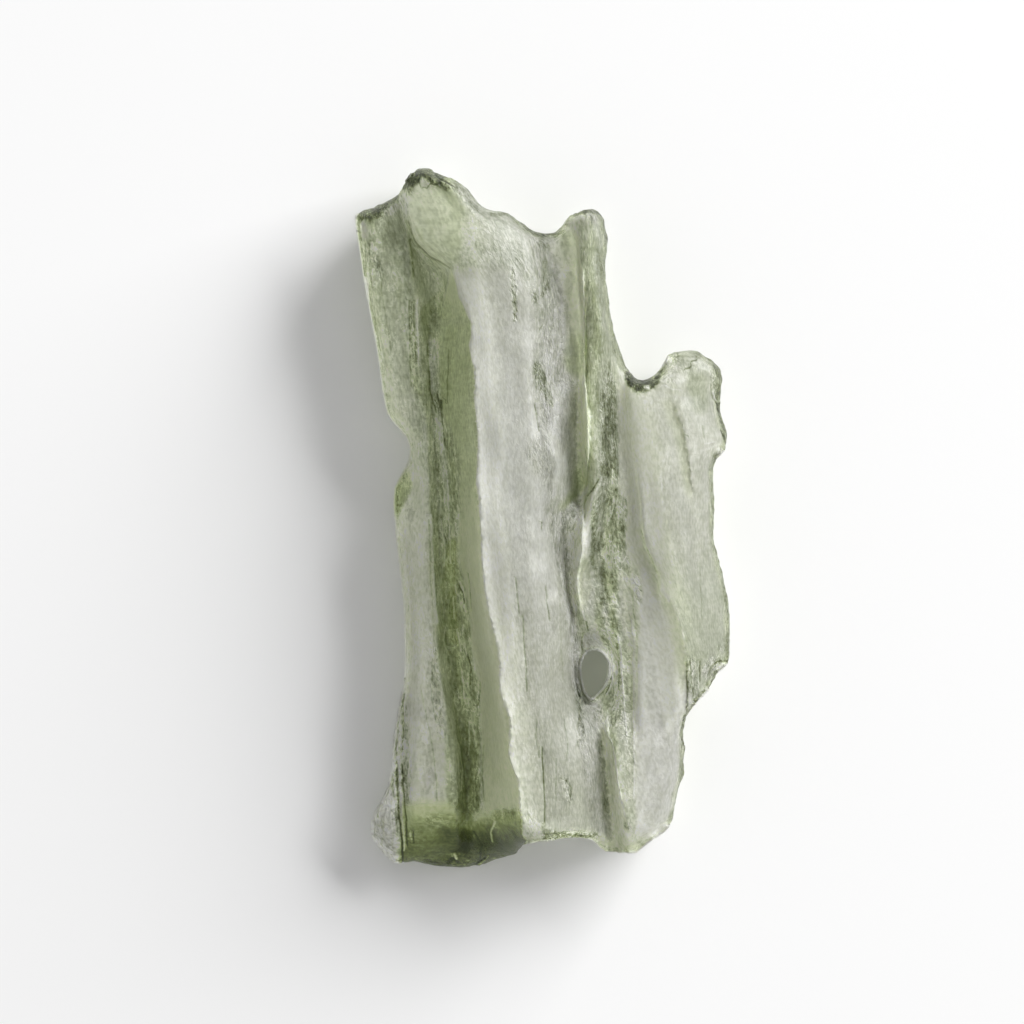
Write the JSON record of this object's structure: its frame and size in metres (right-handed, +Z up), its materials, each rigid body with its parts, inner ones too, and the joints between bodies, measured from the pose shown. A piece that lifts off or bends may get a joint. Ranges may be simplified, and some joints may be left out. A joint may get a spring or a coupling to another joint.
{
  "type": "moldavite",
  "caption": "Thin natural glass shard, deeply fluted along its length, with broken ends, a notched outline and a small hole worn right through.",
  "frame": {"origin": "middle of the bounding box, on the surface the stone lies on", "axes": "+Y along the flutes towards the broken top end, +X across the stone away from the plate's straight edge, +Z up out of the sculpted face"},
  "size_m": [0.0172, 0.032, 0.0057],
  "materials": {
    "natural_glass": "translucent olive green natural glass, its worn surface etched to a fine satin frost"
  },
  "bodies": {
    "root": {"moldavite": "natural_glass"}
  },
  "joints": []
}
